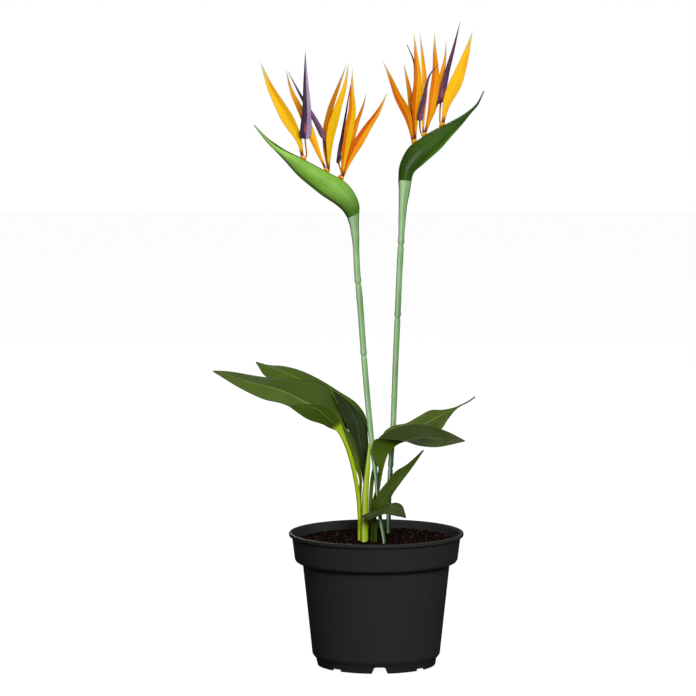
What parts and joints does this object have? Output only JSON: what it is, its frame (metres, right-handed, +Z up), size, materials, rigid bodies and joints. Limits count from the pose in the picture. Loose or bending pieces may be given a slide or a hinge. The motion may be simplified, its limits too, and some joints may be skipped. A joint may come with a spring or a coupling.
{
  "type": "potted bird of paradise plant",
  "caption": "Potted plant with two beaked orange and purple flower heads on tall bare stems above a low tuft of broad leaves, in a round black nursery pot filled with dark soil.",
  "frame": {"origin": "on the ground at the pot's axis", "axes": "+Z up, +X to the right as seen from the front, +Y to the back"},
  "size_m": [0.2941, 0.19, 0.6967],
  "materials": {
    "pot_plastic": "black moulded plastic, satin",
    "compost": "dark crumbly compost",
    "flower_stem": "grey-green living stem",
    "bright_spathe": "bright green waxy spathe",
    "dark_spathe": "dark green waxy spathe",
    "orange_sepal": "orange sepal, soft satin",
    "purple_petal": "purple petal, satin",
    "dark_leaf": "dark green leathery leaf",
    "bright_leaf": "yellow-green leathery leaf",
    "young_leaf": "pale young leaf"
  },
  "bodies": {
    "root": {"pot": "pot_plastic", "soil": "compost", "flower_stem_left": "flower_stem", "flower_stem_right": "flower_stem", "spathe_left": "bright_spathe", "spathe_right": "dark_spathe", "sepals_left_outer": "orange_sepal", "sepals_left_middle": "orange_sepal", "sepals_left_inner": "orange_sepal", "sepals_right_inner": "orange_sepal", "sepals_right_middle": "orange_sepal", "sepals_right_outer": "orange_sepal", "arrow_left_outer": "purple_petal", "arrow_left_middle": "purple_petal", "arrow_left_inner": "purple_petal", "arrow_right_inner": "purple_petal", "arrow_right_middle": "purple_petal", "arrow_right_outer": "purple_petal", "leaf_front_left": "dark_leaf", "leaf_back_left": "dark_leaf", "leaf_left_upright": "dark_leaf", "leaf_bright_front": "bright_leaf", "leaf_front_right": "dark_leaf", "leaf_back_right": "dark_leaf", "leaf_lance": "dark_leaf", "leaf_small_bent": "dark_leaf", "leaf_spear": "young_leaf"}
  },
  "joints": []
}
